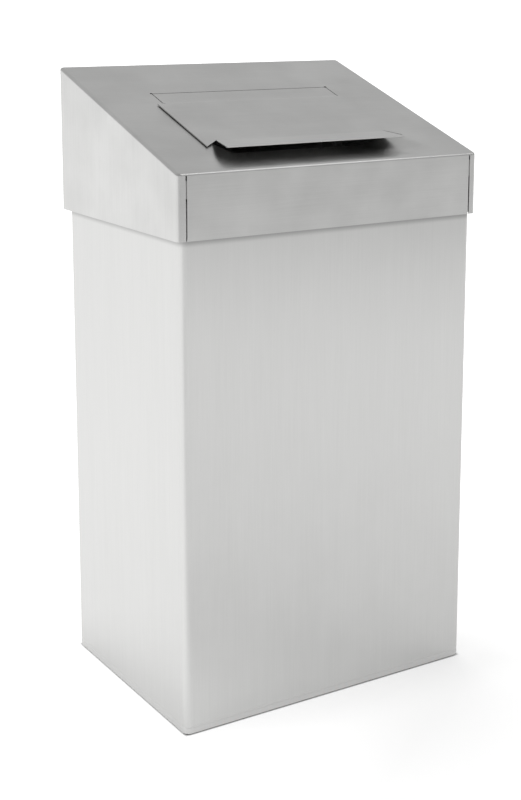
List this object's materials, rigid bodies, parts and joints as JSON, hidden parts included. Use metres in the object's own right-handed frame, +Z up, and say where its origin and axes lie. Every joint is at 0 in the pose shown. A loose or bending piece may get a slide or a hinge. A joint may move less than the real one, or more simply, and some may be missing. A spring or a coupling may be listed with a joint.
{
  "type": "waste bin",
  "caption": "Free-standing rectangular stainless steel waste bin with a lift-off hood, a sloping top and a lift-up flap over a finger scoop that shuts itself.",
  "frame": {"origin": "on the floor, under the middle of the hood", "axes": "+Z up, +X to the right as seen from the front, +Y to the back, the high side of the hood"},
  "size_m": [0.4, 0.2924, 0.7278],
  "materials": {
    "body_steel": "vertical brushed grain, satin",
    "hood_steel": "fine brushed grain, satin",
    "flap_steel": "fine brushed grain, satin",
    "inner_steel": "mill finish sheet",
    "zinc_steel": "zinc plated",
    "foot_rubber": "moulded, matte",
    "buffer_rubber": "extruded, matte"
  },
  "bodies": {
    "bin": {"body_shell": "body_steel", "rear_seam_strip": "inner_steel", "base_pan": "inner_steel", "foot_front_left": "foot_rubber", "foot_front_right": "foot_rubber", "foot_rear_left": "foot_rubber", "foot_rear_right": "foot_rubber", "rim_frame": "inner_steel"},
    "hood": {"hood_shell": "hood_steel", "hood_strap_front_left": "inner_steel", "hood_strap_front_right": "inner_steel", "hood_strap_rear_left": "inner_steel", "hood_strap_rear_right": "inner_steel", "hood_ledge_left": "inner_steel", "hood_ledge_right": "inner_steel", "hood_pad_left": "buffer_rubber", "hood_pad_right": "buffer_rubber", "hinge_rod": "zinc_steel", "hinge_saddle_left": "inner_steel", "hinge_saddle_right": "inner_steel", "saddle_studs": "zinc_steel", "saddle_nuts": "zinc_steel", "flap_buffer_left": "buffer_rubber", "flap_buffer_right": "buffer_rubber"},
    "flap": {"flap_panel": "flap_steel", "flap_stiffener": "inner_steel"}
  },
  "joints": [
    {"name": "hood_lift", "type": "slide", "parent": "bin", "child": "hood", "axis": [0, 0, 1], "range_m": [0, 0.12]},
    {"name": "flap_hinge", "type": "hinge", "parent": "hood", "child": "flap", "pos_m": [0, 0.05473, 0.69385], "axis": [-1, 0, 0], "range_deg": [0, 95]}
  ]
}
